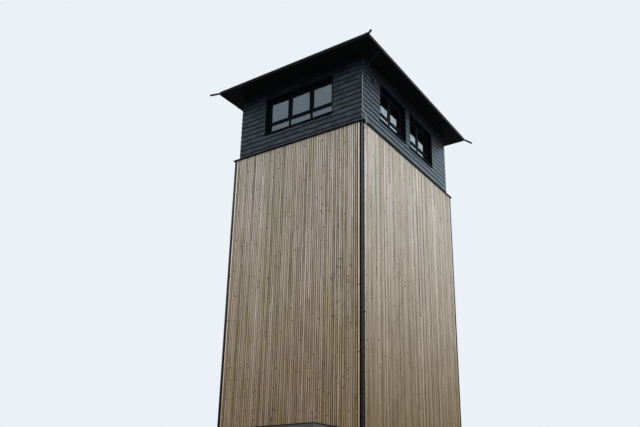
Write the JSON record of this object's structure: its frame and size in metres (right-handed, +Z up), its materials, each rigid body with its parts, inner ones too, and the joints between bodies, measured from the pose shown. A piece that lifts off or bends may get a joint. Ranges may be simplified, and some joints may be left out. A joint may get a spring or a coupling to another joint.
{
  "type": "fire lookout tower",
  "caption": "Rectangular timber-clad lookout tower with a slated cabin, window bands on all sides, a wide hipped roof with corner spouts, and a canopied entrance",
  "frame": {"origin": "centre of the footprint, on the ground", "axes": "+Z up, -Y out of the entrance side, +X to the right when looking at the entrance"},
  "size_m": [7.1076, 9.3366, 17.15],
  "materials": {
    "larch": "weathered larch battens, dry and matt, with knots",
    "timber": "planed spruce",
    "slate": "split slate in level courses, low sheen",
    "concrete": "cast concrete",
    "dark_metal": "anthracite coated sheet and sections, satin",
    "post_metal": "grey coated angle, satin",
    "dark_boards": "dark stained boards",
    "glass": "clear double glazing that mirrors the sky",
    "wire": "round drawn wire, dull",
    "canopy_metal": "grey coated sheet",
    "lamp_plastic": "dark moulded housing"
  },
  "bodies": {
    "root": {"plinth": "concrete", "ground_floor": "concrete", "shaft_wall_front": "timber", "shaft_wall_back": "timber", "shaft_wall_left": "timber", "shaft_wall_right": "timber", "larch_front": "larch", "larch_back": "larch", "larch_left": "larch", "larch_right": "larch", "corner_posts": "post_metal", "drip_flashing": "dark_metal", "cabin_floor": "timber", "cabin_wall_front": "slate", "cabin_wall_back": "slate", "cabin_wall_left": "slate", "cabin_wall_right": "slate", "window_lining_front": "dark_metal", "window_lining_back": "dark_metal", "window_lining_left": "dark_metal", "window_lining_right": "dark_metal", "window_frame_front": "dark_metal", "window_frame_back": "dark_metal", "window_frame_left": "dark_metal", "window_frame_right": "dark_metal", "window_glass_front": "glass", "window_glass_back": "glass", "window_glass_left": "glass", "window_glass_right": "glass", "ceiling": "timber", "soffit": "dark_boards", "fascia": "dark_boards", "roof_slope_front": "slate", "roof_slope_back": "slate", "roof_slope_left": "slate", "roof_slope_right": "slate", "roof_capping": "dark_metal", "gutter": "dark_metal", "corner_spouts": "dark_metal", "lightning_conductor": "wire", "wall_lamp": "lamp_plastic", "door_frame": "dark_metal", "door_leaves": "dark_metal", "canopy_roof": "canopy_metal", "canopy_brackets": "dark_metal"}
  },
  "joints": []
}
